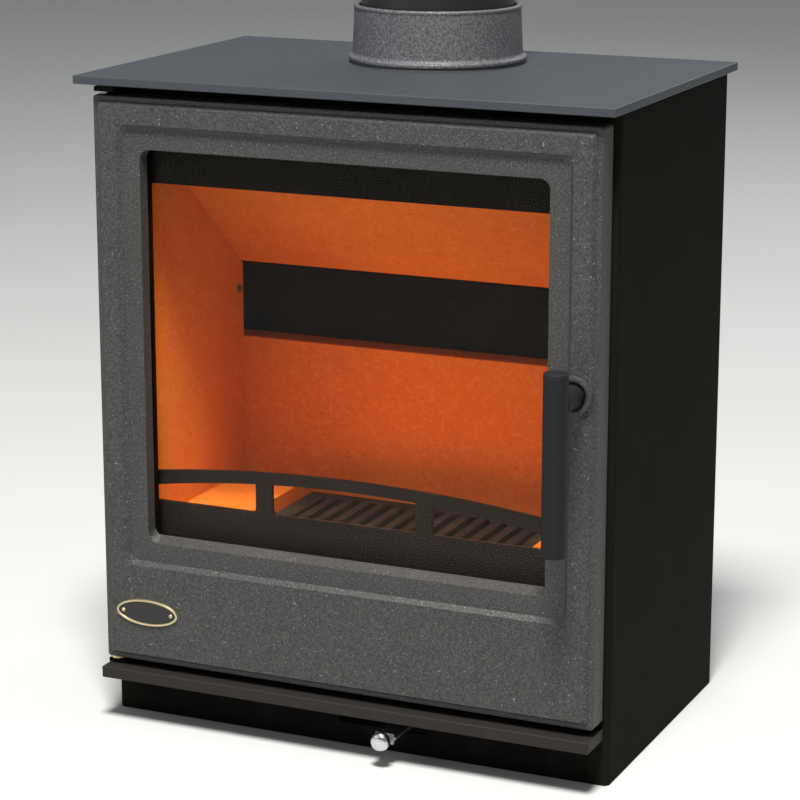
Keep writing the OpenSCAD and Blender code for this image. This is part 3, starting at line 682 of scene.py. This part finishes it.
def bricks():
    """Cut vermiculite boards with eased edges. The baffle lies on the side bricks' slope."""
    low_y, low_z, slope_angle = 212, 360, 40.2
    length, thickness, seam = 157, 22, 0.15
    on_slope = (Matrix.Translation(at(0, low_y, low_z)) @ Matrix.Rotation(radians(-slope_angle), 4, "X")
                @ Matrix.Translation(-ORIGIN))
    above = on_slope.to_3x3() @ Vector(UP)
    for node in ("left_brick", "right_brick", "rear_brick", "left_hearth_brick", "right_hearth_brick"):
        bm = bmesh.new()
        block(bm, *extent(node))
        if node in ("left_brick", "right_brick"):
            cut = bmesh.ops.bisect_plane(bm, geom=bm.verts[:] + bm.edges[:] + bm.faces[:],
                                         plane_co=at(0, low_y, low_z - seam), plane_no=above,
                                         clear_outer=True)
            rim = [g for g in cut["geom_cut"] if isinstance(g, bmesh.types.BMEdge)]
            bmesh.ops.contextual_create(bm, geom=rim)
        ease(bm, sharp(bm), 1.2, 3)
        show(node + "_board", bm, [node], BRICK)
    bm = bmesh.new()
    block(bm, extent("baffle")[0], (-length, 0), (0, thickness))
    ease(bm, sharp(bm), 1.2, 3)
    bmesh.ops.transform(bm, matrix=on_slope, verts=bm.verts[:])
    show("baffle_board", bm, ["baffle"], BRICK)


door_casting()
door_rope()
glass_pane()
oval_badge()
handle()
top_plate()
side_panels()
ledge()
flue()
air_knob()
bricks()
for inner in ("front_frame", "hearth_plate", "base_plate", "firebox_top", "airwash_duct", "air_chamber",
              "ash_pan", "hinge_bracket_top", "hinge_bracket_bottom", "plinth_front", "air_box",
              "left_air_riser", "right_air_riser"):
    softened(inner, SOOTY)
for outer in ("rear_wall", "rear_shield", "blanking_plate"):
    softened(outer, BODY)
softened("grate", GRATE, 1.0)
softened("log_guard", GUARD, 1.3, 4)
for small in ("latch_keeper", "latch_cam", "glass_retainers", "air_port_plate", "slider_guides",
              "air_slider"):
    softened(small, STEEL, 0.3)
for node, item in frame["nodes"].items():
    for place in item.material_slots:
        place.material = FINISH_OF_SLOT[SLOT_OF[node]]

# ---------------------------------------------------------------- studio


def studio():
    """A pale floor, three lamps round the stove, and two in the firebox that stand for the fire."""
    bm = bmesh.new()
    bmesh.ops.create_grid(bm, x_segments=1, y_segments=1, size=8)
    mesh = bpy.data.meshes.new("floor")
    bm.to_mesh(mesh)
    bm.free()
    mesh.materials.append(hearth_floor("floor"))
    ground = bpy.data.objects.new("floor", mesh)
    bpy.context.scene.collection.objects.link(ground)

    def lamp(name, spot, aim, size, power, colour=(1, 1, 1), seen=True):
        light = bpy.data.lights.new(name, "AREA")
        light.shape = "RECTANGLE"
        light.size, light.size_y = size
        light.energy = power
        light.color = colour
        item = bpy.data.objects.new(name, light)
        item.location = spot
        item.rotation_euler = (Vector(aim) - Vector(spot)).to_track_quat("-Z", "Y").to_euler()
        item.visible_camera = item.visible_glossy = item.visible_transmission = seen
        bpy.context.scene.collection.objects.link(item)

    lamp("key", (0.50, -1.50, 3.45), (0, 0, 0.25), (0.8, 0.8), 250, (1, 0.985, 0.955))
    lamp("fill", (-2.4, -2.4, 1.5), (0, 0, 0.3), (2.2, 2.2), 16, (0.95, 0.97, 1))
    lamp("back", (0.9, 2.9, 2.4), (0, 0, 0.4), (2.2, 1.6), 32, (0.95, 0.97, 1))
    glow = (1.0, 0.40, 0.13)
    lamp("embers", at(0, 120, 185), at(0, 120, 400), (0.24, 0.10), 0.175, glow, seen=False)
    lamp("flames", at(0, 60, 250), at(0, 240, 300), (0.24, 0.12), 0.12, glow, seen=False)

    world = bpy.data.worlds.new("room")
    world.use_nodes = True
    sky = world.node_tree.nodes["Background"]
    sky.inputs["Color"].default_value = (0.92, 0.95, 1.0, 1)
    sky.inputs["Strength"].default_value = 0.24
    bpy.context.scene.world = world
    bpy.context.scene.view_settings.view_transform = "Standard"


def camera():
    """Stands to the right of the stove and looks down at it."""
    down, left = 14.208, 24.156
    lens = bpy.data.cameras.new("camera")
    lens.sensor_width = 36
    lens.lens = 122.2
    item = bpy.data.objects.new("camera", lens)
    item.location = at(899.4, -1883.7, 830.1)
    item.rotation_euler = (radians(90 - down), 0, radians(left))
    bpy.context.scene.collection.objects.link(item)
    bpy.context.scene.camera = item


studio()
camera()
